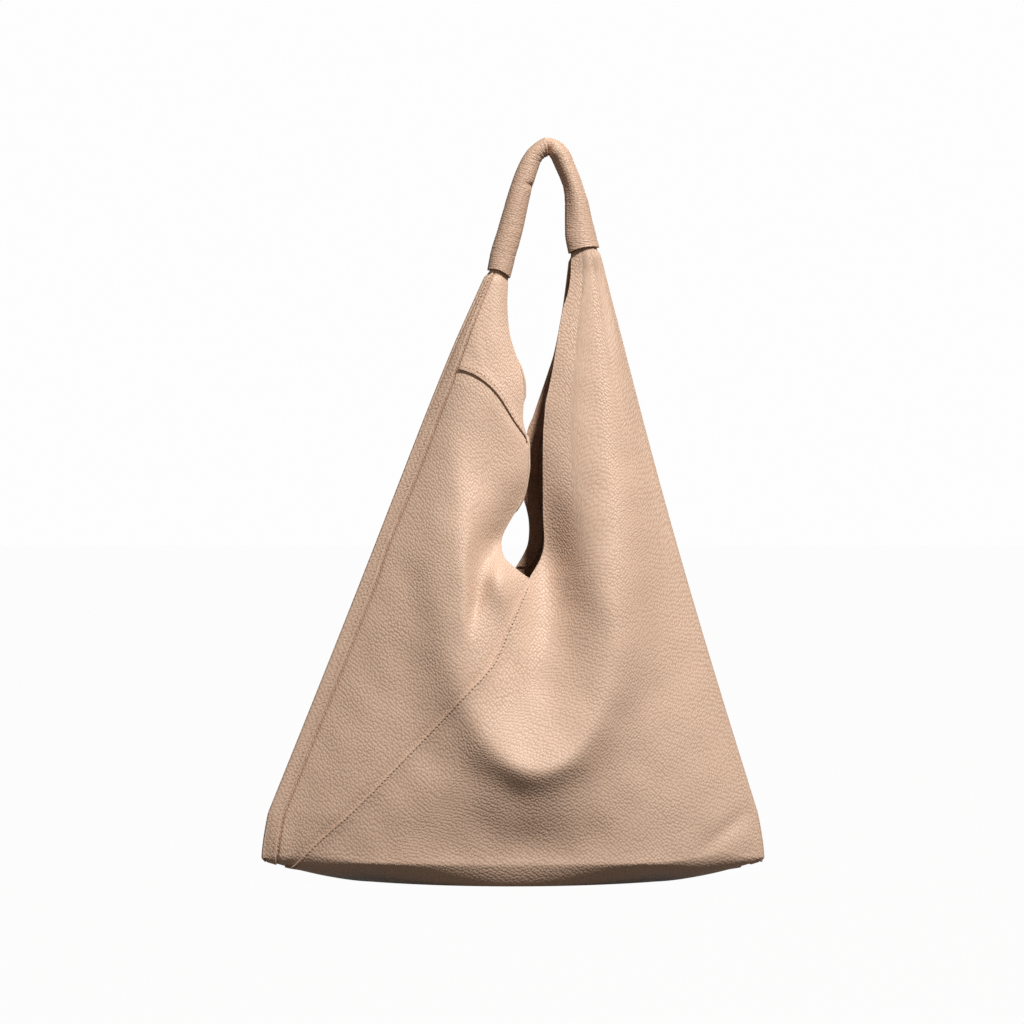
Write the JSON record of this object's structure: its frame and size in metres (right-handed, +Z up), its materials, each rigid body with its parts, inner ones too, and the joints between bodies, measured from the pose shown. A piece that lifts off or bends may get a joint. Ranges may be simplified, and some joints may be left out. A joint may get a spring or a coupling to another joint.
{
  "type": "trapeze bag",
  "caption": "Soft leather shoulder bag with a triangular body, two leaves with a folded front, a diagonal lapped seam and one rolled handle.",
  "frame": {"origin": "on the ground under the middle of the bag's box", "axes": "+X to the right as seen from the front, which faces -Y; +Z up"},
  "size_m": [0.4518, 0.1372, 0.6699],
  "materials": {
    "tan_leather": "matt pebbled grain",
    "handle_leather": "matt pebbled grain, finely wrinkled",
    "neck_leather": "matt",
    "hem_leather": "suede flesh side",
    "board": "matt",
    "cord_filler": "twisted cotton cord",
    "thread": "waxed thread"
  },
  "bodies": {
    "bag": {"front_right_panel": "tan_leather", "front_left_panel": "tan_leather", "front_left_tip": "tan_leather", "back_left_panel": "tan_leather", "back_right_panel": "tan_leather", "back_right_tip": "tan_leather", "base_panel": "tan_leather", "left_tongue": "neck_leather", "right_tongue": "neck_leather", "front_left_facing": "hem_leather", "front_right_facing": "hem_leather", "back_left_facing": "hem_leather", "back_right_facing": "hem_leather", "base_board": "board", "front_seam_thread": "thread", "back_seam_thread": "thread", "front_tip_thread": "thread", "back_tip_thread": "thread", "left_side_thread": "thread", "right_side_thread": "thread", "base_thread": "thread"},
    "handle": {"handle_sleeve": "handle_leather", "handle_core": "cord_filler", "handle_thread": "thread"}
  },
  "joints": [
    {"name": "handle_swing", "type": "hinge", "parent": "bag", "child": "handle", "pos_m": [-0.0122, 0, 0.5476], "axis": [0.9668, 0, 0.2554], "range_deg": [-70, 70]}
  ]
}
